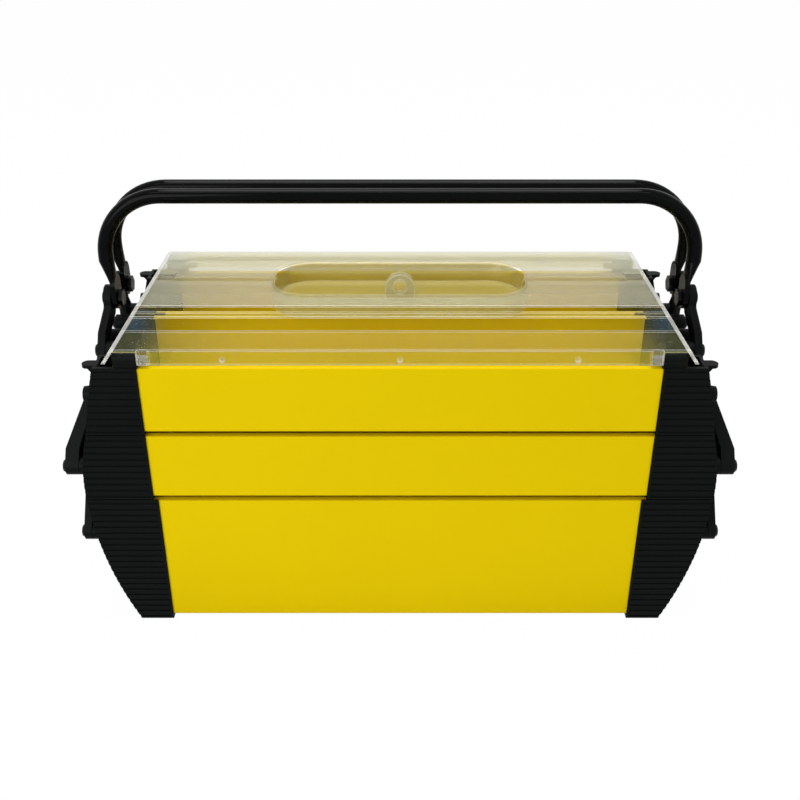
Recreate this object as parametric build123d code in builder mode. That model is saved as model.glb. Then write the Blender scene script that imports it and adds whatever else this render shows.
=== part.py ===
from build123d import *
import os
from math import hypot

os.makedirs("parts", exist_ok=True)

# Trays, mm: X is the box length, Y its depth with the front at -Y, Z up from the floor
half_depth = 88.0
bottom_tray_height = 101.0
middle_tray_height = 49.0
top_tray_height = 48.0
tray_gap = 0.6
centre_gap = 0.8
sheet_half_length = 165.0
bottom_sheet_inset = 3.0
sheet = 0.8
bend_radius = 3.0
hem_width = 5.0
hem_drop = 1.0

# End caps
cap_wall = 2.5
cap_lip = 1.0
bottom_cap_lip = 2.0
cap_overlap = 7.0
seat_clearance = 0.1
cheek_depth = 20.0
plate_inset = 2.2
crown_reach = 28.0
crown_bow = 0.4
shoulder_swell = 10.5
waist_swell = 5.5
bulge_swell = 1.0
belly_taper = 7.0
foot_taper = 18.0
top_plate_set_back = 5.5
middle_plate_set_back = 12.5
bottom_plate_set_back = 7.0
rib_pitch = 4.8
groove_width = 1.6
groove_depth = 0.5
rib_margin = 2.0

# Levers and links, with their pivots
arm_half_width = 6.0
arm_thickness = 5.0
upper_arm_thickness = 9.0
arm_flat = 11.0
lower_lever_flat = 43.0
lever_foot_inset = 9.2
link_clearance = 0.8
lever_head_drop = 12.6
lower_pivot_drop = 31.0
upper_pivot_rise = 21.0
lower_foot_stand_off = 2.0
upper_foot_stand_off = 4.0
middle_head_stand_off = 3.0
top_head_stand_off = 11.0
hub_radius = 9.0
boss_radius = 6.0
boss_depth = 9.0
boss_gap = 0.3
pin_radius = 3.0
pin_head_radius = 5.0
pin_head_height = 1.8
pin_head_taper = 30.0
press_clearance = 0.03
running_clearance = 0.08

# Lids
lid_wall = 2.0
lid_gap = 0.8
lid_overhang = 0.5
lid_end_gap = 0.5
lid_end_slope = 0.68
lid_shelf_height = 12.8
lid_shelf_depth = 29.0
lid_riser = 10.0
lid_ledge_depth = 7.5
lid_step = 4.5
lid_lip_depth = 5.0
lid_flange_lift = 1.3
recess_length = 171.0
recess_depth_y = 64.0
recess_depth = 14.0
recess_corner = 24.0
recess_taper = 12.0
lug_width = 20.0
lug_thickness = 3.5
lug_rise = 16.5
lug_hole_radius = 4.7
lug_hole_rise = 7.5
tab_length = 12.0
tab_width = 6.0
tab_height = 2.0
tab_inset = 3.0
nub_radius = 1.6
nub_height = 0.8
nub_spacing = 111.0
nub_count = 3
nub_rise = 5.2

# Lid hinges
hinge_inset = 4.5
hinge_rise = 4.8
knuckle_radius = 4.5
knuckle_length = 14.5
barrel_length = 6.5
hinge_gap = 0.5
hinge_pin_radius = 2.0

# Handles, with the bolts that hold them to the upper levers
handle_tube_radius = 5.0
handle_leg_offset = 3.8
handle_height = 70.0
handle_lean = 2.5
handle_straight = 4.0
handle_pivot_y = 13.0
handle_pivot_rise = 17.3
handle_plate = 3.4
handle_gap = 0.4
handle_plate_half_width = 7.5
handle_plate_length = 9.0
handle_taper_length = 17.0
bolt_radius = 3.0
bolt_head_radius = 5.0
bolt_head_height = 1.8
bolt_head_taper = 25.0
nut_sides = 6
nut_across_flats = 10.0
nut_height = 2.6
nut_clearance = 0.05

# Thumb wings and stop buttons on the top caps
wing_reach = 8.0
wing_length = 8.0
wing_thickness = 2.2
wing_inset = 4.0
button_radius = 6.0
button_height = 4.0
button_drop = 22.0
button_inset = 8.0
button_taper = 8.0

# Widths and levels worked out from the sizes above
tray_back = -centre_gap / 2
bottom_sheet_half_length = sheet_half_length - bottom_sheet_inset
crown_half_width = sheet_half_length + crown_reach
shoulder_half_width = crown_half_width + shoulder_swell
waist_half_width = shoulder_half_width + waist_swell
bulge_half_width = waist_half_width + bulge_swell
belly_half_width = bulge_half_width - belly_taper
foot_half_width = belly_half_width - foot_taper
top_plate_half_width = crown_half_width - top_plate_set_back
middle_plate_half_width = shoulder_half_width - middle_plate_set_back
bottom_plate_half_width = belly_half_width - bottom_plate_set_back
middle_base = bottom_tray_height + tray_gap
middle_top = middle_base + middle_tray_height
top_base = middle_top + tray_gap
top_top = top_base + top_tray_height
lower_pivot_height = bottom_tray_height - lower_pivot_drop
upper_pivot_height = middle_base + upper_pivot_rise
lever_foot_y = -half_depth + lever_foot_inset
lever_rise = top_top - lever_head_drop - upper_pivot_height
handle_pivot_z = top_top + handle_pivot_rise
hub_reach = -handle_pivot_y - lever_foot_y
hub_rise = handle_pivot_z - upper_pivot_height
lever_reach = hub_reach * lever_rise / hub_rise
lever_length = hypot(lever_reach, lever_rise)
lever_at_boss = lever_reach * (upper_pivot_height - lower_pivot_height) / lever_rise
boss_distance = boss_radius + arm_half_width + link_clearance
link_foot_y = lever_foot_y + lever_at_boss - boss_distance * lever_length / lever_rise
lever_along = (0, lever_reach / lever_length, lever_rise / lever_length)
lever_across = (0, lever_rise / lever_length, -lever_reach / lever_length)
hub_length = hypot(hub_reach, hub_rise)
lid_base_half_width = top_plate_half_width + lid_overhang
lid_base = top_top + lid_gap
lid_shelf = top_top + lid_shelf_height
lid_ledge = lid_shelf + lid_riser
lid_deck = lid_ledge + lid_step
deck_half_width = lid_base_half_width - lid_end_slope * (lid_deck - lid_base)
recess_floor = lid_deck - recess_depth
hinge_y = -half_depth + hinge_inset
hinge_z = top_top + hinge_rise
nut_face = lid_base_half_width + lid_end_gap
handle_plate_inner = nut_face + nut_height + handle_gap
handle_leg_half_width = handle_plate_inner + handle_plate / 2 + handle_leg_offset
hub_face = handle_plate_inner + handle_plate + handle_gap
wing_half_width = crown_half_width + wing_reach


def save(piece, name):
    piece.label = name
    export_step(piece, f"parts/{name}.step")


def other_side(piece):
    return mirror(piece, about=Plane.YZ)


def other_half(piece):
    return mirror(piece, about=Plane.XZ)


# Folded sheet trays, open upwards, with a hem along both long edges
def tray_shell(front, back, base, top, half_length):
    with BuildSketch(Plane.YZ) as inside:
        with BuildLine():
            Polyline(
                (front + sheet, base + sheet),
                (back - sheet, base + sheet),
                (back - sheet, top - sheet),
                (back - hem_width, top - sheet),
                (back - hem_width, top + sheet),
                (front + hem_width, top + sheet),
                (front + hem_width, top - sheet),
                (front + sheet, top - sheet),
                close=True,
            )
        make_face()
        fillet(inside.vertices().group_by(Axis.Y)[0], bend_radius - sheet)
    with BuildPart() as shell:
        with BuildSketch(Plane.YZ) as section:
            with BuildLine():
                Polyline((front, base), (back, base), (back, top), (front, top), close=True)
            make_face()
            fillet(section.vertices().group_by(Axis.Y)[0], bend_radius)
        extrude(amount=half_length + cap_overlap, both=True)
        extrude(inside.sketch, amount=half_length + 2 * cap_overlap, both=True, mode=Mode.SUBTRACT)
    return shell.part


# Cross-section of an end cap in the XZ plane: flat bottom, curved flank, flat top
def cap_outline(seat, floor, centre, ceiling, foot, middle, head, inset):
    Polyline((head - inset, ceiling), (seat, ceiling), (seat, floor), (foot - inset, floor))
    ThreePointArc((foot - inset, floor), (middle - inset, centre), (head - inset, ceiling))


# Right-hand end cap: ribbed cheeks at its outer edges and a set-back plate between them
def end_cap(seat, back, base, top, lip, foot, middle, head, plate, cheeks, pivots):
    front = -half_depth
    depth = back - front
    centre = (base + top) / 2
    full_height = 2 * (top - base)
    rib_count = int((top - base) / rib_pitch)
    with BuildPart() as grooves:
        for outer, inward in cheeks:
            cheek_middle = outer + inward * cheek_depth / 2
            for k in range(rib_count):
                with Locations((bulge_half_width, cheek_middle, base + rib_pitch * (k + 0.5))):
                    Box(2 * (bulge_half_width - seat - rib_margin), cheek_depth, groove_width)
        for outer, inward in cheeks:
            with BuildSketch(Plane.XZ.offset(-outer - inward * groove_depth)):
                with BuildLine():
                    cap_outline(seat, base, centre, top, foot, middle, head, 0)
                make_face()
            extrude(amount=-inward * cheek_depth, mode=Mode.SUBTRACT)
    with BuildPart() as cap:
        # Set-back plate over the full depth, then the cheeks
        with BuildSketch(Plane.XZ.offset(-front)):
            with BuildLine():
                cap_outline(seat, base, centre, top, foot, middle, head, plate_inset)
            make_face()
            with Locations((seat, centre)):
                Rectangle(2 * (plate - seat), full_height, mode=Mode.INTERSECT)
        extrude(amount=-depth)
        for outer, inward in cheeks:
            with BuildSketch(Plane.XZ.offset(-outer)):
                with BuildLine():
                    cap_outline(seat, base, centre, top, foot, middle, head, 0)
                make_face()
            extrude(amount=-inward * cheek_depth)
        add(grooves.part, mode=Mode.SUBTRACT)
        # Seat for the end of the sheet
        seat_front = front + cap_lip - seat_clearance
        seat_depth = depth - 2 * (cap_lip - seat_clearance)
        seat_floor = base + lip - seat_clearance
        with Locations((seat, seat_front, seat_floor)):
            Box(
                2 * (cap_overlap + seat_clearance), seat_depth, full_height,
                align=(Align.CENTER, Align.MIN, Align.MIN), mode=Mode.SUBTRACT,
            )
        # Hollow behind the plate and behind each cheek, open towards the tray and upwards
        hollow_inset = plate_inset + cap_wall
        with BuildSketch(Plane.XZ.offset(-front - cap_wall)):
            with BuildLine():
                cap_outline(seat, base + cap_wall, centre, top + cap_wall, foot, middle, head, hollow_inset)
            make_face()
            with Locations((seat, centre)):
                Rectangle(2 * (plate - cap_wall - seat), full_height, mode=Mode.INTERSECT)
        extrude(amount=-depth + 2 * cap_wall, mode=Mode.SUBTRACT)
        for outer, inward in cheeks:
            with BuildSketch(Plane.XZ.offset(-outer - inward * cap_wall)):
                with BuildLine():
                    cap_outline(seat, base + cap_wall, centre, top + cap_wall, foot, middle, head, cap_wall)
                make_face()
            extrude(amount=-inward * (cheek_depth - 2 * cap_wall), mode=Mode.SUBTRACT)
        # Pivot bosses with their pin holes
        for y, z, face, thickness in pivots:
            on_cheek = half_depth - abs(y) < cheek_depth
            boss_root = face - boss_gap - boss_depth if on_cheek else plate - boss_depth
            with BuildSketch(Plane.YZ.offset(boss_root)):
                with Locations((y, z)):
                    Circle(boss_radius)
            extrude(amount=face - boss_gap - boss_root)
        for y, z, face, thickness in pivots:
            with BuildSketch(Plane.YZ.offset(face)):
                with Locations((y, z)):
                    Circle(pin_radius + press_clearance)
            extrude(amount=-boss_depth - boss_gap, mode=Mode.SUBTRACT)
    return cap.part


# Pins pressed into the bosses, with a domed head outside the arm
def pivot_pins(pivots):
    with BuildPart() as pins:
        for y, z, face, thickness in pivots:
            with BuildSketch(Plane.YZ.offset(face - boss_gap - boss_depth)):
                with Locations((y, z)):
                    Circle(pin_radius)
            extrude(amount=boss_depth + 2 * boss_gap + thickness)
            with BuildSketch(Plane.YZ.offset(face + thickness + boss_gap)):
                with Locations((y, z)):
                    Circle(pin_head_radius)
            extrude(amount=pin_head_height, taper=pin_head_taper)
        mirror(about=Plane.YZ)
    return pins.part


# Right-hand arm: flat eyes at both ends, joined by a leaning strip
def swing_arm(foot, head, foot_flat):
    foot_y, foot_z, foot_face, foot_thickness = foot
    head_face, head_thickness = head[2:]
    pivot = (0, foot_y, foot_z)
    start = -arm_half_width
    end = lever_length + arm_half_width
    with BuildPart() as arm:
        with BuildSketch(Plane(origin=pivot, x_dir=lever_along, z_dir=lever_across)):
            with BuildLine():
                Polyline(
                    (start, foot_face),
                    (foot_flat, foot_face),
                    (lever_length - arm_flat, head_face),
                    (end, head_face),
                    (end, head_face + head_thickness),
                    (lever_length - arm_flat, head_face + head_thickness),
                    (foot_flat, foot_face + foot_thickness),
                    (start, foot_face + foot_thickness),
                    close=True,
                )
            make_face()
        extrude(amount=arm_half_width, both=True)
        face_plane = Plane(origin=pivot, x_dir=lever_along, z_dir=(1, 0, 0))
        with BuildSketch(face_plane):
            with Locations((lever_length / 2, 0)):
                SlotCenterToCenter(lever_length, 2 * arm_half_width)
        extrude(amount=foot_face + head_face, mode=Mode.INTERSECT)
        with BuildSketch(face_plane):
            with Locations((0, 0), (lever_length, 0)):
                Circle(pin_radius + running_clearance)
        extrude(amount=foot_face + head_face, mode=Mode.SUBTRACT)
    return arm.part


# Upper lever: an arm that runs straight on, past its head, to the hub of the handle
def handle_lever(foot, head):
    head_face, head_thickness = head[2:]
    slope_start = lever_length + arm_flat
    slope_end = hub_length - hub_radius
    with BuildPart() as lever:
        add(swing_arm(foot, head, arm_flat))
        with BuildSketch(Plane(origin=(0, foot[0], foot[1]), x_dir=lever_along, z_dir=lever_across)):
            with BuildLine():
                Polyline(
                    (lever_length, head_face),
                    (slope_start, head_face),
                    (slope_end, hub_face),
                    (hub_length, hub_face),
                    (hub_length, hub_face + arm_thickness),
                    (slope_end, hub_face + arm_thickness),
                    (slope_start, head_face + head_thickness),
                    (lever_length, head_face + head_thickness),
                    close=True,
                )
            make_face()
        extrude(amount=arm_half_width, both=True)
        with BuildSketch(Plane.YZ.offset(hub_face)):
            with Locations((-handle_pivot_y, handle_pivot_z)):
                Circle(hub_radius)
        extrude(amount=arm_thickness)
        with BuildSketch(Plane.YZ.offset(head_face)):
            with Locations(head[:2]):
                Circle(pin_radius + running_clearance)
        extrude(amount=head_thickness, mode=Mode.SUBTRACT)
        with BuildSketch(Plane.YZ.offset(hub_face)):
            with Locations((-handle_pivot_y, handle_pivot_z)):
                Circle(bolt_radius + press_clearance)
        extrude(amount=arm_thickness, mode=Mode.SUBTRACT)
    return lever.part


# Pivot points as (y, z, inner face of the arm, its thickness), front half
lower_lever_foot = bulge_half_width + lower_foot_stand_off
upper_lever_foot = waist_half_width + upper_foot_stand_off
lower_lever_head = middle_plate_half_width + middle_head_stand_off
upper_lever_head = top_plate_half_width + top_head_stand_off
lower_feet = [
    (lever_foot_y, lower_pivot_height, lower_lever_foot, arm_thickness),
    (link_foot_y, lower_pivot_height, lower_lever_foot, arm_thickness),
]
lower_heads = [
    (lever_foot_y + lever_reach, lower_pivot_height + lever_rise, lower_lever_head, arm_thickness),
    (link_foot_y + lever_reach, lower_pivot_height + lever_rise, lower_lever_head, arm_thickness),
]
upper_feet = [
    (lever_foot_y, upper_pivot_height, upper_lever_foot, upper_arm_thickness),
    (link_foot_y, upper_pivot_height, upper_lever_foot, upper_arm_thickness),
]
upper_heads = [
    (lever_foot_y + lever_reach, upper_pivot_height + lever_rise, upper_lever_head, arm_thickness),
    (link_foot_y + lever_reach, upper_pivot_height + lever_rise, upper_lever_head, arm_thickness),
]
rear_lower_feet = [(-y, z, face, thickness) for y, z, face, thickness in lower_feet]

# Bottom tray
bottom_shell = tray_shell(
    -half_depth + cap_lip, half_depth - cap_lip, bottom_cap_lip,
    bottom_tray_height - hem_drop, bottom_sheet_half_length,
)
save(bottom_shell, "bottom_tray_shell")
bottom_cap = end_cap(
    bottom_sheet_half_length, half_depth, 0, bottom_tray_height, bottom_cap_lip,
    foot_half_width, belly_half_width, bulge_half_width, bottom_plate_half_width,
    [(-half_depth, 1), (half_depth, -1)], lower_feet + rear_lower_feet,
)
save(bottom_cap, "bottom_end_cap_right")
save(other_side(bottom_cap), "bottom_end_cap_left")
save(pivot_pins(lower_feet + rear_lower_feet), "bottom_pivot_pins")

# Middle trays
middle_shell = tray_shell(
    -half_depth + cap_lip, tray_back - cap_lip, middle_base + cap_lip,
    middle_top - hem_drop, sheet_half_length,
)
middle_cap = end_cap(
    sheet_half_length, tray_back, middle_base, middle_top, cap_lip,
    bulge_half_width, waist_half_width, shoulder_half_width, middle_plate_half_width,
    [(-half_depth, 1)], lower_heads + upper_feet,
)
middle_pins = pivot_pins(lower_heads + upper_feet)
save(middle_shell, "front_middle_tray_shell")
save(other_half(middle_shell), "rear_middle_tray_shell")
save(middle_cap, "front_middle_end_cap_right")
save(other_side(middle_cap), "front_middle_end_cap_left")
save(other_half(middle_cap), "rear_middle_end_cap_right")
save(other_half(other_side(middle_cap)), "rear_middle_end_cap_left")
save(middle_pins, "front_middle_pivot_pins")
save(other_half(middle_pins), "rear_middle_pivot_pins")

# Top trays: the caps also carry the hinge knuckle, a thumb wing and a stop button
top_shell = tray_shell(
    -half_depth + cap_lip, tray_back - cap_lip, top_base + cap_lip,
    top_top - hem_drop, sheet_half_length,
)
plain_top_cap = end_cap(
    sheet_half_length, tray_back, top_base, top_top, cap_lip,
    shoulder_half_width, (shoulder_half_width + crown_half_width) / 2 + crown_bow, crown_half_width,
    top_plate_half_width, [(-half_depth, 1)], upper_heads,
)
knuckle_start = sheet_half_length - hinge_gap
knuckle_foot = top_top - hem_drop + seat_clearance
with BuildPart() as top_cap:
    add(plain_top_cap)
    # Hinge knuckle and its foot on the front wall
    with BuildSketch(Plane.YZ.offset(knuckle_start)):
        with Locations((hinge_y, hinge_z)):
            Circle(knuckle_radius)
        with BuildLine():
            Polyline(
                (-half_depth + cap_lip / 2, knuckle_foot),
                (hinge_y + knuckle_radius, knuckle_foot),
                (hinge_y + knuckle_radius, hinge_z),
                (-half_depth + cap_lip / 2, hinge_z),
                close=True,
            )
        make_face()
    extrude(amount=knuckle_length)
    # Thumb wing with a rounded nose and a gusset below it
    wing_middle = -half_depth + wing_inset + wing_length / 2
    with BuildSketch(Plane.XY.offset(top_top)):
        with BuildLine():
            Polyline(
                (crown_half_width - cap_wall, wing_middle - wing_length / 2),
                (wing_half_width - wing_length / 2, wing_middle - wing_length / 2),
                (wing_half_width - wing_length / 2, wing_middle + wing_length / 2),
                (crown_half_width - cap_wall, wing_middle + wing_length / 2),
                close=True,
            )
        make_face()
        with Locations((wing_half_width - wing_length / 2, wing_middle)):
            Circle(wing_length / 2)
    extrude(amount=-wing_thickness)
    with BuildSketch(Plane.XZ.offset(-wing_middle - wing_thickness / 2)):
        with BuildLine():
            Polyline(
                (crown_half_width - cap_wall, top_top - wing_thickness),
                (wing_half_width - wing_thickness, top_top - wing_thickness),
                (crown_half_width, top_top - wing_length - wing_thickness),
                (crown_half_width - cap_wall, top_top - wing_length - wing_thickness),
                close=True,
            )
        make_face()
    extrude(amount=wing_thickness)
    # Stop button standing on the flank of the cheek
    with BuildSketch(Plane.YZ.offset((shoulder_half_width + crown_half_width) / 2 - cap_wall)):
        with Locations((-half_depth + button_inset, top_top - button_drop)):
            Circle(button_radius)
    extrude(amount=cap_wall + button_height, taper=button_taper)
    # Hole for the hinge pin
    with BuildSketch(Plane.YZ.offset(knuckle_start)):
        with Locations((hinge_y, hinge_z)):
            Circle(hinge_pin_radius + press_clearance)
    extrude(amount=knuckle_length, mode=Mode.SUBTRACT)
top_pins = pivot_pins(upper_heads)
save(top_shell, "front_top_tray_shell")
save(other_half(top_shell), "rear_top_tray_shell")
save(top_cap.part, "front_top_end_cap_right")
save(other_side(top_cap.part), "front_top_end_cap_left")
save(other_half(top_cap.part), "rear_top_end_cap_right")
save(other_half(other_side(top_cap.part)), "rear_top_end_cap_left")
save(top_pins, "front_top_pivot_pins")
save(other_half(top_pins), "rear_top_pivot_pins")

# Swing arms
arms = {
    "lower_lever": swing_arm(lower_feet[0], lower_heads[0], lower_lever_flat),
    "lower_link": swing_arm(lower_feet[1], lower_heads[1], lower_lever_flat),
    "upper_lever": handle_lever(upper_feet[0], upper_heads[0]),
    "upper_link": swing_arm(upper_feet[1], upper_heads[1], arm_flat),
}
for arm_name, arm in arms.items():
    save(arm, f"front_{arm_name}_right")
    save(other_side(arm), f"front_{arm_name}_left")
    save(other_half(arm), f"rear_{arm_name}_right")
    save(other_half(other_side(arm)), f"rear_{arm_name}_left")

# Hinge pins, pressed into the knuckles and reaching into the lid's barrels
barrel_start = knuckle_start - hinge_gap - barrel_length
with BuildPart() as hinge_pins:
    with BuildSketch(Plane.YZ.offset(barrel_start)):
        with Locations((hinge_y, hinge_z)):
            Circle(hinge_pin_radius)
    extrude(amount=barrel_length + hinge_gap + knuckle_length)
    mirror(about=Plane.YZ)
save(hinge_pins.part, "front_lid_hinge_pins")
save(other_half(hinge_pins.part), "rear_lid_hinge_pins")


# Lid half: stepped front, flat deck, sloping ends; inset shrinks it to its own hollow
def lid_block(inset, bottom, edge):
    front = -half_depth + inset
    riser = -half_depth + lid_shelf_depth + inset
    step = riser + lid_ledge_depth
    slope_length = hypot(1, lid_end_slope)
    with BuildPart() as block:
        with BuildSketch(Plane.YZ):
            with BuildLine():
                Polyline(
                    (front, bottom),
                    (front, lid_shelf - inset),
                    (riser, lid_shelf - inset),
                    (riser, lid_ledge - inset),
                    (step, lid_ledge - inset),
                    (step, lid_deck - inset),
                    (edge, lid_deck - inset),
                    (edge, bottom),
                    close=True,
                )
            make_face()
        extrude(amount=lid_base_half_width + lid_wall, both=True)
        end_x = lid_base_half_width - inset * slope_length
        for side in (1, -1):
            cutter = Plane(
                origin=(side * end_x, 0, lid_base), x_dir=(0, 1, 0), z_dir=(side, 0, lid_end_slope)
            )
            split(bisect_by=cutter, keep=Keep.BOTTOM)
    return block.part


lid_outside = lid_block(0, lid_base, tray_back)
lid_inside = lid_block(lid_wall, lid_base - lid_wall, tray_back + lid_wall)


def lid(with_tabs):
    with BuildPart() as cover:
        add(lid_outside)
        add(lid_inside, mode=Mode.SUBTRACT)
        # Stiffening lip along the centre edge
        with Locations((0, tray_back - lid_wall / 2, lid_deck - lid_lip_depth / 2)):
            Box(2 * deck_half_width, lid_wall, lid_lip_depth)
        # Half of the hand recess, with walls and a floor, cut off at the centre line
        with BuildSketch(Plane.XY.offset(lid_deck)):
            RectangleRounded(
                recess_length + 2 * lid_wall, recess_depth_y + 2 * lid_wall, recess_corner + lid_wall
            )
            with Locations((0, half_depth + tray_back)):
                Rectangle(2 * lid_base_half_width, 2 * half_depth, mode=Mode.SUBTRACT)
        extrude(amount=-recess_depth - lid_wall)
        with BuildSketch(Plane.XY.offset(lid_deck)):
            RectangleRounded(recess_length, recess_depth_y, recess_corner)
        extrude(amount=-recess_depth, taper=recess_taper, mode=Mode.SUBTRACT)
        # Padlock lug standing on the recess floor
        with BuildSketch(Plane.XZ.offset(-tray_back)):
            lug_round = lug_width / 2
            with BuildLine():
                Polyline(
                    (lug_round, recess_floor + lug_rise - lug_round),
                    (lug_round, recess_floor - lid_wall),
                    (-lug_round, recess_floor - lid_wall),
                    (-lug_round, recess_floor + lug_rise - lug_round),
                )
                ThreePointArc(
                    (-lug_round, recess_floor + lug_rise - lug_round),
                    (0, recess_floor + lug_rise),
                    (lug_round, recess_floor + lug_rise - lug_round),
                )
            make_face()
            with Locations((0, recess_floor + lug_hole_rise)):
                Circle(lug_hole_radius, mode=Mode.SUBTRACT)
        extrude(amount=lug_thickness)
        # Room for the knuckles: the front flange ends at the barrels
        flange_end = barrel_start + barrel_length + hinge_gap / 2
        notch_length = lid_base_half_width - flange_end
        notch_height = lid_shelf - lid_wall - lid_base
        for side in (1, -1):
            with Locations(
                (side * (flange_end + notch_length / 2), -half_depth + lid_wall, lid_base + notch_height / 2)
            ):
                Box(notch_length, 2 * lid_wall + hinge_gap, notch_height, mode=Mode.SUBTRACT)
        with Locations((0, -half_depth + lid_wall / 2, lid_base + lid_flange_lift / 2)):
            Box(2 * flange_end, 2 * lid_wall, lid_flange_lift, mode=Mode.SUBTRACT)
        # Barrels under the shelf
        for side in (1, -1):
            start = barrel_start if side > 0 else -barrel_start - barrel_length
            with BuildSketch(Plane.YZ.offset(start)):
                with Locations((hinge_y, hinge_z)):
                    Circle(knuckle_radius)
                with BuildLine():
                    Polyline(
                        (-half_depth + hinge_gap, hinge_z),
                        (hinge_y, hinge_z),
                        (hinge_y, lid_shelf - lid_wall / 2),
                        (-half_depth + hinge_gap, lid_shelf - lid_wall / 2),
                        close=True,
                    )
                make_face()
            extrude(amount=barrel_length)
        with BuildSketch(Plane.YZ):
            with Locations((hinge_y, hinge_z)):
                Circle(hinge_pin_radius + running_clearance)
        extrude(amount=lid_base_half_width, both=True, mode=Mode.SUBTRACT)
        # Small moulded nubs along the inside of the front flange
        with BuildSketch(Plane.XZ.offset(half_depth - lid_wall)):
            with Locations((0, top_top + nub_rise)):
                with GridLocations(nub_spacing, nub_spacing, nub_count, 1):
                    Circle(nub_radius)
        extrude(amount=-nub_height)
        # Finger tabs at the ends of the centre edge
        tab_x = deck_half_width - tab_inset - tab_length / 2
        for side in (1, -1):
            if with_tabs:
                with Locations((side * tab_x, tray_back - tab_width / 2, lid_deck + tab_height / 2)):
                    Box(tab_length, tab_width, tab_height)
            else:
                with Locations((side * tab_x, tray_back - tab_width / 2, lid_deck)):
                    Box(tab_length, tab_width, tab_height, mode=Mode.SUBTRACT)
    return cover.part


save(lid(False), "front_lid")
save(other_half(lid(True)), "rear_lid")

# Handle: bent tube that tapers into flat eyes at both ends
lean_length = hypot(handle_lean, handle_height)
lean = (0, handle_lean / lean_length, handle_height / lean_length)
handle_plane = Plane(
    origin=(0, -handle_pivot_y, handle_pivot_z), x_dir=(1, 0, 0), z_dir=(0, -lean[2], lean[1])
)
tube_start = handle_plate_length + handle_taper_length
handle_corner = lean_length - tube_start - handle_straight
with BuildPart() as handle:
    with BuildLine(handle_plane) as route:
        FilletPolyline(
            (-handle_leg_half_width, tube_start),
            (-handle_leg_half_width, lean_length),
            (handle_leg_half_width, lean_length),
            (handle_leg_half_width, tube_start),
            radius=handle_corner,
        )
    with BuildSketch(Plane(origin=route.line @ 0, x_dir=(1, 0, 0), z_dir=route.line % 0)):
        Circle(handle_tube_radius)
    sweep(path=route.line)
    for side in (1, -1):
        leg_foot = handle_plane.from_local_coords((side * handle_leg_half_width, tube_start, 0))
        plate_foot = handle_plane.from_local_coords(
            (side * (handle_plate_inner + handle_plate / 2), handle_plate_length, 0)
        )
        with BuildSketch(Plane(origin=leg_foot, x_dir=(1, 0, 0), z_dir=lean)):
            Circle(handle_tube_radius)
        with BuildSketch(Plane(origin=plate_foot, x_dir=(1, 0, 0), z_dir=lean)):
            Ellipse(handle_plate / 2, handle_plate_half_width)
        loft()
    plate_middle = handle_plate_length / 2
    for side in (1, -1):
        plate_face = side * handle_plate_inner
        with BuildSketch(
            Plane(origin=(plate_face, -handle_pivot_y, handle_pivot_z), x_dir=lean, z_dir=(side, 0, 0))
        ):
            with Locations((plate_middle, 0)):
                SlotCenterToCenter(handle_plate_length, 2 * handle_plate_half_width)
        extrude(amount=handle_plate)
    with BuildSketch(Plane.YZ):
        with Locations((-handle_pivot_y, handle_pivot_z)):
            Circle(bolt_radius + running_clearance)
    extrude(amount=handle_leg_half_width + handle_plate, both=True, mode=Mode.SUBTRACT)
save(handle.part, "front_handle")
save(other_half(handle.part), "rear_handle")

# Handle bolts and nuts
bolt_face = hub_face + arm_thickness + nut_clearance
with BuildPart() as bolts:
    with BuildSketch(Plane.YZ.offset(nut_face)):
        with Locations((-handle_pivot_y, handle_pivot_z)):
            Circle(bolt_radius)
    extrude(amount=bolt_face - nut_face)
    with BuildSketch(Plane.YZ.offset(bolt_face)):
        with Locations((-handle_pivot_y, handle_pivot_z)):
            Circle(bolt_head_radius)
    extrude(amount=bolt_head_height, taper=bolt_head_taper)
    mirror(about=Plane.YZ)
with BuildPart() as nuts:
    with BuildSketch(Plane.YZ.offset(nut_face)):
        with Locations((-handle_pivot_y, handle_pivot_z)):
            RegularPolygon(nut_across_flats / 2, nut_sides, major_radius=False)
            Circle(bolt_radius + press_clearance, mode=Mode.SUBTRACT)
    extrude(amount=nut_height)
    mirror(about=Plane.YZ)
save(bolts.part, "front_handle_bolts")
save(other_half(bolts.part), "rear_handle_bolts")
save(nuts.part, "front_handle_nuts")
save(other_half(nuts.part), "rear_handle_nuts")
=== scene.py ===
import bmesh
import bpy
import math
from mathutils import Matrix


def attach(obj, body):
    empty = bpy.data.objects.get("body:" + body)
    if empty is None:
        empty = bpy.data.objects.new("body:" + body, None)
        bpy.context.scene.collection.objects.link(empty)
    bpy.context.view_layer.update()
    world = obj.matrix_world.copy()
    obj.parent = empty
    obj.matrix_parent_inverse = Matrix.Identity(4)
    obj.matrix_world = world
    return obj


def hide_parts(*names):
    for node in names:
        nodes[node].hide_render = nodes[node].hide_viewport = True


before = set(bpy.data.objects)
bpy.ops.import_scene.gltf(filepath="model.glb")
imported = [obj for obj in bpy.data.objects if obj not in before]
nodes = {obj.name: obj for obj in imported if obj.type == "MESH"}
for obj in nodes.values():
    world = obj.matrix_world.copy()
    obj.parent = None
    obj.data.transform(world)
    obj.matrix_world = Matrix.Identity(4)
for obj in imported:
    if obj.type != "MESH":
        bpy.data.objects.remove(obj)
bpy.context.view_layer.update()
print("frame loaded:", len(nodes), "pieces")

scene = bpy.context.scene
scene.view_settings.view_transform = "Standard"


# small helpers for node trees
def newGroup(name, inputs, outputs):
    group = bpy.data.node_groups.new(name, "ShaderNodeTree")
    for label, value in inputs:
        socket = group.interface.new_socket(label, in_out="INPUT", socket_type="NodeSocketFloat")
        socket.default_value = value
    for label in outputs:
        group.interface.new_socket(label, in_out="OUTPUT", socket_type="NodeSocketFloat")
    start = group.nodes.new("NodeGroupInput")
    end = group.nodes.new("NodeGroupOutput")
    return group, start, end


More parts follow.
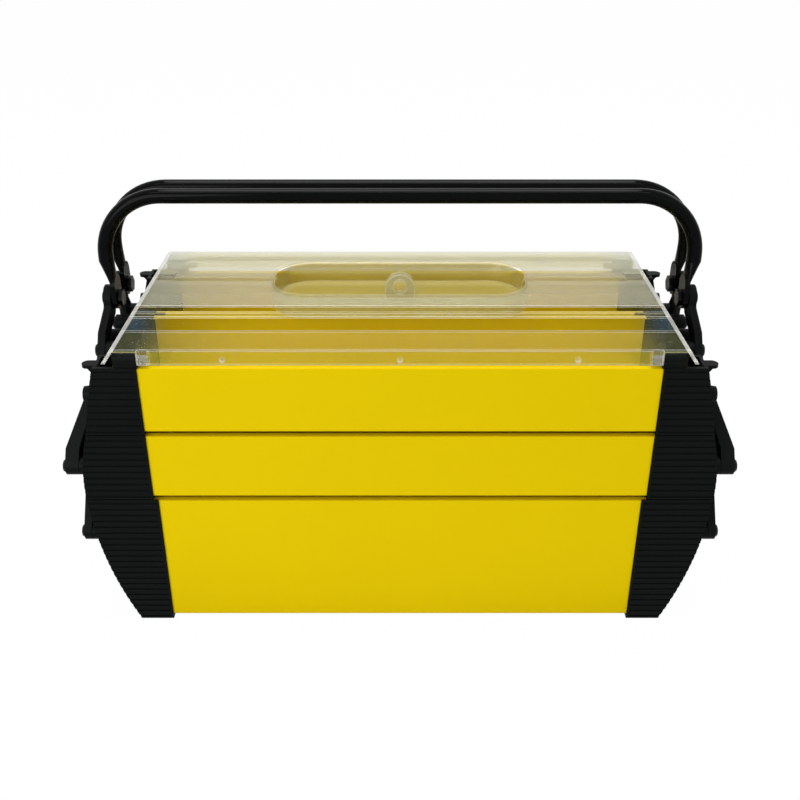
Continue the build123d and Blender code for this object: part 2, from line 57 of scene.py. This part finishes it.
def newMath(tree, operation, first, second):
    node = tree.nodes.new("ShaderNodeMath")
    node.operation = operation
    for socket, value in zip(node.inputs, (first, second)):
        if isinstance(value, (int, float)):
            socket.default_value = value
        else:
            tree.links.new(value, socket)
    return node.outputs[0]


def newNoise(tree, coords, scale, detail):
    node = tree.nodes.new("ShaderNodeTexNoise")
    node.inputs["Detail"].default_value = detail
    tree.links.new(coords, node.inputs["Vector"])
    tree.links.new(scale, node.inputs["Scale"])
    return node.outputs["Fac"]


noiseDetail = {"grain": 3.0, "mottle": 4.0, "dust": 5.0}


# moulded grain or paint orange peel: a height and a slow mottle, both 0 to 1
def makeGrainGroup():
    group, start, end = newGroup(
        "surfaceGrain", [("Grain Scale", 900.0), ("Mottle Scale", 14.0)], ["Height", "Mottle"])
    coords = group.nodes.new("ShaderNodeTexCoord").outputs["Object"]
    fine = newNoise(group, coords, start.outputs["Grain Scale"], noiseDetail["grain"])
    slow = newNoise(group, coords, start.outputs["Mottle Scale"], noiseDetail["mottle"])
    group.links.new(fine, end.inputs["Height"])
    group.links.new(slow, end.inputs["Mottle"])
    return group


# thin dust that settles on faces looking up
def makeDustGroup():
    group, start, end = newGroup(
        "settledDust", [("Amount", 0.2), ("Patch Scale", 30.0)], ["Dust"])
    normal = group.nodes.new("ShaderNodeNewGeometry").outputs["Normal"]
    split = group.nodes.new("ShaderNodeSeparateXYZ")
    group.links.new(normal, split.inputs[0])
    up = newMath(group, "MAXIMUM", split.outputs["Z"], 0.0)
    coords = group.nodes.new("ShaderNodeTexCoord").outputs["Object"]
    patches = newNoise(group, coords, start.outputs["Patch Scale"], noiseDetail["dust"])
    spread = newMath(group, "MULTIPLY", up, patches)
    dust = newMath(group, "MULTIPLY", spread, start.outputs["Amount"])
    group.links.new(dust, end.inputs["Dust"])
    return group


grainGroup = makeGrainGroup()
dustGroup = makeDustGroup()


def placeGroup(tree, group, values):
    node = tree.nodes.new("ShaderNodeGroup")
    node.node_tree = group
    for label, value in values.items():
        node.inputs[label].default_value = value
    return node


def placeGrain(tree, look):
    values = {"Grain Scale": look["grainScale"], "Mottle Scale": look["mottleScale"]}
    return placeGroup(tree, grainGroup, values)


def placeBump(tree, height, look, shader):
    bump = tree.nodes.new("ShaderNodeBump")
    bump.inputs["Distance"].default_value = look["bumpDepth"]
    bump.inputs["Strength"].default_value = look["bumpStrength"]
    tree.links.new(height, bump.inputs["Height"])
    tree.links.new(bump.outputs["Normal"], shader.inputs["Normal"])


def newMaterial(name):
    material = bpy.data.materials.new(name)
    material.use_nodes = True
    tree = material.node_tree
    return material, tree, tree.nodes["Principled BSDF"]


def mixColour(tree, factor, first, second):
    node = tree.nodes.new("ShaderNodeMix")
    node.data_type = "RGBA"
    tree.links.new(factor, node.inputs["Factor"])
    for label, value in (("A", first), ("B", second)):
        socket = [s for s in node.inputs if s.name == label and s.type == "RGBA"][0]
        if isinstance(value, tuple):
            socket.default_value = (*value, 1.0)
        else:
            tree.links.new(value, socket)
    return [s for s in node.outputs if s.type == "RGBA"][0]


def mapValue(tree, value, low, high, span=(0.0, 1.0)):
    node = tree.nodes.new("ShaderNodeMapRange")
    node.inputs["From Min"].default_value, node.inputs["From Max"].default_value = span
    node.inputs["To Min"].default_value = low
    node.inputs["To Max"].default_value = high
    tree.links.new(value, node.inputs["Value"])
    return node.outputs["Result"]


# one finish: mottled colour, uneven roughness, grain bump and a little dust
def makeFinish(name, look):
    material, tree, shader = newMaterial(name)
    grain = placeGrain(tree, look)
    dust = placeGroup(tree, dustGroup, {"Amount": look["dust"], "Patch Scale": look["dustScale"]})
    colour = mixColour(tree, grain.outputs["Mottle"], look["dark"], look["light"])
    colour = mixColour(tree, dust.outputs["Dust"], colour, look["dustColour"])
    tree.links.new(colour, shader.inputs["Base Color"])
    rough = mapValue(tree, grain.outputs["Mottle"], look["roughLow"], look["roughHigh"])
    tree.links.new(newMath(tree, "ADD", rough, dust.outputs["Dust"]), shader.inputs["Roughness"])
    placeBump(tree, grain.outputs["Height"], look, shader)
    shader.inputs["Metallic"].default_value = look["metallic"]
    shader.inputs["Specular IOR Level"].default_value = look["specular"]
    return material


yellowLook = {
    "dark": (0.660, 0.485, 0.0002), "light": (0.700, 0.517, 0.0004), "dustColour": (0.8, 0.72, 0.4),
    "grainScale": 420.0, "mottleScale": 9.0, "bumpDepth": 0.00012, "bumpStrength": 0.2,
    "roughLow": 0.36, "roughHigh": 0.46, "dust": 0.01, "dustScale": 40.0,
    "metallic": 0.0, "specular": 0.02,
}
capLook = {
    "dark": (0.0016, 0.0026, 0.0023), "light": (0.0031, 0.0045, 0.0040), "dustColour": (0.03, 0.032, 0.03),
    "grainScale": 1500.0, "mottleScale": 25.0, "bumpDepth": 0.00012, "bumpStrength": 0.4,
    "roughLow": 0.40, "roughHigh": 0.55, "dust": 0.03, "dustScale": 60.0,
    "metallic": 0.0, "specular": 0.055,
}
handleLook = {
    "dark": (0.0008, 0.0012, 0.0011), "light": (0.0016, 0.0021, 0.0020), "dustColour": (0.02, 0.02, 0.02),
    "grainScale": 260.0, "mottleScale": 18.0, "bumpDepth": 0.0001, "bumpStrength": 0.12,
    "roughLow": 0.06, "roughHigh": 0.10, "dust": 0.003, "dustScale": 80.0,
    "metallic": 0.0, "specular": 0.05,
}
steelLook = {
    "dark": (0.004, 0.0045, 0.005), "light": (0.011, 0.012, 0.013), "dustColour": (0.05, 0.05, 0.05),
    "grainScale": 2200.0, "mottleScale": 120.0, "bumpDepth": 0.0001, "bumpStrength": 0.3,
    "roughLow": 0.3, "roughHigh": 0.45, "dust": 0.02, "dustScale": 90.0,
    "metallic": 1.0, "specular": 0.5,
}
yellowPaint = makeFinish("yellowPaint", yellowLook)
capPlastic = makeFinish("capPlastic", capLook)
handlePaint = makeFinish("handlePaint", handleLook)
blackSteel = makeFinish("blackSteel", steelLook)
print("opaque finishes made")


# clear lid plastic: milky deck with the trays' yellow painted in and painted shade at its rear, painted
# reflections on the end walls, painted highlights on lug and nubs, the trays' yellow painted in shade in
# the recess and painted as lit on shelf, flange and the clear risers, whiter barrels
lidLook = {
    # front deck colour: milky frost with the trays' yellow painted in; rear deck colour: darker, painted
    # shade; riser colour: the lit tray's yellow painted on the clear riser
    "frontTint": (0.70, 0.69, 0.45), "rearTint": (0.52, 0.51, 0.36), "riserTint": (0.90, 0.74, 0.04),
    # shelf and flange colours: the lit trays' yellow painted on the clear plastic; shelf ends: a painted
    # reflection
    "shelfTint": (0.94, 0.81, 0.08), "shelfEndTint": (0.52, 0.56, 0.26), "flangeTint": (0.98, 0.84, 0.06),
    # riser ends: a painted bluish reflection; recess: the trays' yellow painted in shade; lug: a painted
    # highlight
    "riserEndTint": (0.40, 0.62, 0.80), "recessTint": (0.55, 0.485, 0.12), "lugTint": (0.66, 0.64, 0.42),
    # nubs: a painted highlight; end walls: a painted reflection; barrels: only whiter and less see-through
    "nubTint": (0.97, 0.95, 0.80), "barrelTint": (0.90, 0.87, 0.70), "endTint": (0.90, 0.90, 0.86),
    "rimTint": (0.97, 0.97, 0.92),
    "riserAlpha": 0.08, "shelfAlpha": 0.11, "riserEndAlpha": 0.13, "shelfEndAlpha": 0.08,
    # deck alpha, front to rear: thicker haze towards the rear, painted shade
    "flangeAlpha": 0.26, "deckAlpha": (0.27, 0.6), "recessAlpha": 0.62, "lugAlpha": 0.4, "nubAlpha": 0.42,
    "barrelAlpha": 0.3, "endAlpha": 0.6, "rimAlpha": (0.7, 1.0),
    "alphaSpread": (0.92, 1.08), "ior": 1.49, "specular": 0.25, "transmission": 0.5,
    "clearRough": 0.05, "milkRough": 0.38, "rimRough": 0.15, "rimWidth": 0.0016,
    "rimSegments": 2, "rimProfile": 0.6, "weldDistance": 1e-6, "flatAngle": 2, "sharpAngle": 28,
    "grainScale": 1800.0, "mottleScale": 30.0, "bumpDepth": 0.0001, "bumpStrength": 0.2,
    "rearBlend": (-0.05, 0.07), "endBlend": (0.150, 0.168), "flatNormal": 0.8, "deckLevel": 0.2235,
    "recessReach": (0.0925, 0.037), "lugReach": (0.0102, 0.0045), "lugFoot": 0.2128,
    "flangeStart": 0.0855, "flangeTop": 0.2105, "nubSpacing": 0.111, "nubLevel": 0.2044, "nubReach": 0.0017,
    "barrelSpan": (0.1572, 0.1643), "barrelStart": 0.0788, "barrelTop": 0.2087,
    "endSlope": 0.68, "endStart": 0.3213,
}


# masks: 1 inside a zone of the lid and 0 outside it
def above(tree, value, limit):
    return newMath(tree, "GREATER_THAN", value, limit)


def below(tree, value, limit):
    return newMath(tree, "LESS_THAN", value, limit)


def allOf(tree, first, *others):
    for mask in others:
        first = newMath(tree, "MULTIPLY", first, mask)
    return first


def distance(tree, value, level):
    return newMath(tree, "ABSOLUTE", newMath(tree, "SUBTRACT", value, level), 0.0)


def notMask(tree, mask):
    return newMath(tree, "SUBTRACT", 1.0, mask)


def overlay(tree, base, mask, value):
    rest = newMath(tree, "MULTIPLY", notMask(tree, mask), base)
    return newMath(tree, "ADD", rest, newMath(tree, "MULTIPLY", mask, value))


def makeLidPlastic(look):
    material, tree, shader = newMaterial("lidPlastic")
    coords = tree.nodes.new("ShaderNodeTexCoord")
    facing = tree.nodes.new("ShaderNodeSeparateXYZ")
    tree.links.new(coords.outputs["Normal"], facing.inputs[0])
    place = tree.nodes.new("ShaderNodeSeparateXYZ")
    tree.links.new(coords.outputs["Object"], place.inputs[0])
    x = newMath(tree, "ABSOLUTE", place.outputs["X"], 0.0)
    y = newMath(tree, "ABSOLUTE", place.outputs["Y"], 0.0)
    z = place.outputs["Z"]
    flat = above(tree, newMath(tree, "ABSOLUTE", facing.outputs["Z"], 0.0), look["flatNormal"])
    high = above(tree, z, look["deckLevel"])
    low = notMask(tree, high)
    lugX, lugY = look["lugReach"]
    lug = allOf(tree, below(tree, x, lugX), below(tree, y, lugY), above(tree, z, look["lugFoot"]))
    recessX, recessY = look["recessReach"]
    recess = allOf(tree, below(tree, x, recessX), below(tree, y, recessY), low, notMask(tree, lug))
    nearEnd = mapValue(tree, x, 0.0, 1.0, look["endBlend"])
    flange = allOf(tree, above(tree, y, look["flangeStart"]), below(tree, z, look["flangeTop"]))
    fromMiddle = newMath(tree, "MINIMUM", x, distance(tree, x, look["nubSpacing"]))
    fromNub = newMath(tree, "MAXIMUM", fromMiddle, distance(tree, z, look["nubLevel"]))
    nub = allOf(tree, flange, below(tree, fromNub, look["nubReach"]))
    barrelNear, barrelFar = look["barrelSpan"]
    barrel = allOf(tree, above(tree, x, barrelNear), below(tree, x, barrelFar),
                   above(tree, y, look["barrelStart"]), below(tree, z, look["barrelTop"]))
    slope = newMath(tree, "ADD", x, newMath(tree, "MULTIPLY", z, look["endSlope"]))
    endWall = above(tree, slope, look["endStart"])
    deck = allOf(tree, flat, high)
    shelf = allOf(tree, flat, low)
    # towards the rear the deck turns darker and hazier: painted shade
    towardsRear = mapValue(tree, place.outputs["Y"], 0.0, 1.0, look["rearBlend"])
    alpha = overlay(tree, look["riserAlpha"], deck, mapValue(tree, towardsRear, *look["deckAlpha"]))
    deckColour = mixColour(tree, towardsRear, look["frontTint"], look["rearTint"])
    colour = mixColour(tree, deck, look["riserTint"], deckColour)
    # zone colours and alphas laid over the lid: painted light as listed in lidLook, the barrels only whiter
    zones = (
        ("riserEnd", allOf(tree, nearEnd, low)), ("shelf", shelf),
        ("shelfEnd", allOf(tree, nearEnd, shelf)), ("flange", flange), ("recess", recess),
        ("lug", lug), ("nub", nub), ("barrel", barrel), ("end", endWall),
    )
    for name, mask in zones:
        alpha = overlay(tree, alpha, mask, look[name + "Alpha"])
        colour = mixColour(tree, mask, colour, look[name + "Tint"])
    grain = placeGrain(tree, look)
    uneven = mapValue(tree, grain.outputs["Mottle"], *look["alphaSpread"])
    tree.links.new(newMath(tree, "MULTIPLY", alpha, uneven), shader.inputs["Alpha"])
    tree.links.new(colour, shader.inputs["Base Color"])
    rough = mapValue(tree, deck, look["clearRough"], look["milkRough"])
    tree.links.new(rough, shader.inputs["Roughness"])
    placeBump(tree, newMath(tree, "MULTIPLY", grain.outputs["Height"], deck), look, shader)
    shader.inputs["Transmission Weight"].default_value = look["transmission"]
    shader.inputs["IOR"].default_value = look["ior"]
    shader.inputs["Specular IOR Level"].default_value = look["specular"]
    return material


# light caught in the rounded edges of the lid
def makeLidRim(look):
    material, tree, shader = newMaterial("lidRim")
    grain = placeGrain(tree, look)
    alpha = mapValue(tree, grain.outputs["Mottle"], *look["rimAlpha"])
    tree.links.new(alpha, shader.inputs["Alpha"])
    shader.inputs["Base Color"].default_value = (*look["rimTint"], 1)
    shader.inputs["Roughness"].default_value = look["rimRough"]
    shader.inputs["IOR"].default_value = look["ior"]
    return material


lidPlastic = makeLidPlastic(lidLook)
lidRim = makeLidRim(lidLook)


# lid with rounded edges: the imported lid's own faces, its sharp edges softened
def roundLid(half, look):
    source = nodes[half + "_lid"]
    mesh = bpy.data.meshes.new(half + "LidRounded")
    work = bmesh.new()
    work.from_mesh(source.data)
    bmesh.ops.transform(work, matrix=source.matrix_world, verts=work.verts)
    bmesh.ops.remove_doubles(work, verts=work.verts, dist=look["weldDistance"])
    flatAngle = math.radians(look["flatAngle"])
    bmesh.ops.dissolve_limit(work, angle_limit=flatAngle, verts=work.verts, edges=work.edges)
    sharpAngle = math.radians(look["sharpAngle"])
    sharp = [e for e in work.edges if len(e.link_faces) == 2 and e.calc_face_angle(0) > sharpAngle]
    for face in work.faces:
        face.material_index = 0
        face.smooth = False
    bmesh.ops.bevel(
        work, geom=sharp, offset=look["rimWidth"], offset_type="OFFSET", segments=look["rimSegments"],
        profile=look["rimProfile"], affect="EDGES", clamp_overlap=True, material=1)
    work.to_mesh(mesh)
    work.free()
    mesh.materials.append(lidPlastic)
    mesh.materials.append(lidRim)
    piece = bpy.data.objects.new(half + "LidRounded", mesh)
    scene.collection.objects.link(piece)
    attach(piece, half + "_lid")
    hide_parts(half + "_lid")


for half in ("front", "rear"):
    roundLid(half, lidLook)
print("lids rounded")


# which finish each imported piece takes
def finishFor(name):
    if name.endswith("_shell"):
        return yellowPaint
    if name.endswith("_lid"):
        return lidPlastic
    if name.endswith("_handle"):
        return handlePaint
    if name.endswith(("_pins", "_bolts", "_nuts")):
        return blackSteel
    return capPlastic


for name, node in nodes.items():
    if not node.material_slots:
        node.data.materials.append(None)
    for materialSlot in node.material_slots:
        materialSlot.material = finishFor(name)
print("finishes on all packed pieces")

# floor: pale, white to the camera, with a soft contact shadow
floorLook = {"colour": (0.9, 0.9, 0.9), "roughness": 0.9, "whiteShare": 0.985, "size": 8.0}


# 1 for rays that come from the camera, a mirror or the clear lids
def seenDirectly(tree):
    light = tree.nodes.new("ShaderNodeLightPath")
    seen = newMath(tree, "MAXIMUM", light.outputs["Is Camera Ray"], light.outputs["Is Glossy Ray"])
    return newMath(tree, "MAXIMUM", seen, light.outputs["Is Transmission Ray"])


def makeFloor(look):
    half = look["size"] / 2
    mesh = bpy.data.meshes.new("floor")
    corners = [(-half, -half, 0), (half, -half, 0), (half, half, 0), (-half, half, 0)]
    mesh.from_pydata(corners, [], [(0, 1, 2, 3)])
    floor = bpy.data.objects.new("floor", mesh)
    scene.collection.objects.link(floor)
    material, tree, shader = newMaterial("paleFloor")
    shader.inputs["Base Color"].default_value = (*look["colour"], 1)
    shader.inputs["Roughness"].default_value = look["roughness"]
    glow = tree.nodes.new("ShaderNodeEmission")
    share = newMath(tree, "MULTIPLY", seenDirectly(tree), look["whiteShare"])
    mix = tree.nodes.new("ShaderNodeMixShader")
    tree.links.new(share, mix.inputs[0])
    tree.links.new(shader.outputs[0], mix.inputs[1])
    tree.links.new(glow.outputs[0], mix.inputs[2])
    tree.links.new(mix.outputs[0], tree.nodes["Material Output"].inputs[0])
    mesh.materials.append(material)


makeFloor(floorLook)

# world: white behind the object, softer as a light
worldLook = {"colour": (1, 1, 1), "lightStrength": 0.30, "seenStrength": 1.0}


def makeWorld(look):
    world = bpy.data.worlds.new("studioWorld")
    scene.world = world
    world.use_nodes = True
    tree = world.node_tree
    background = tree.nodes["Background"]
    background.inputs["Color"].default_value = (*look["colour"], 1)
    strength = mapValue(tree, seenDirectly(tree), look["lightStrength"], look["seenStrength"])
    tree.links.new(strength, background.inputs["Strength"])


makeWorld(worldLook)

# soft boxes: (name, place, aim, width, depth, watts)
softBoxes = [
    ("keyBox", (-1.0, -1.55, 0.85), (0, 0, 0.15), 1.2, 1.2, 19.5),
    ("fillBox", (1.1, -1.1, 1.0), (0, 0, 0.1), 1.0, 1.0, 1.2),
    ("topBox", (0.0, 0.3, 1.7), (0, 0, 0.1), 1.0, 1.0, 24.0),
    ("stripBox", (0.0, -0.45, 1.5), (0, 0, 0.2), 1.4, 0.05, 3.0),
]


def addSoftBox(name, place, aim, width, depth, watts):
    data = bpy.data.lights.new(name, "AREA")
    data.shape = "RECTANGLE"
    data.size = width
    data.size_y = depth
    data.energy = watts
    box = bpy.data.objects.new(name, data)
    box.location = place
    direction = [b - a for a, b in zip(place, aim)]
    flat = math.hypot(direction[0], direction[1])
    box.rotation_euler = (math.atan2(flat, -direction[2]), 0, math.atan2(-direction[0], direction[1]))
    scene.collection.objects.link(box)


for softBox in softBoxes:
    addSoftBox(*softBox)

# camera: fitted to the box's own edges in the picture
cameraSet = {
    "place": (0.0, -0.649, 0.474), "pitchDown": 27.9, "lens": 45.0, "sensor": 36.0, "clipStart": 0.01,
}
cameraData = bpy.data.cameras.new("camera")
cameraData.lens = cameraSet["lens"]
cameraData.sensor_width = cameraSet["sensor"]
cameraData.clip_start = cameraSet["clipStart"]
camera = bpy.data.objects.new("camera", cameraData)
camera.location = cameraSet["place"]
camera.rotation_euler = (math.radians(90 - cameraSet["pitchDown"]), 0, 0)
scene.collection.objects.link(camera)
scene.camera = camera
print("stage, lights and camera placed")
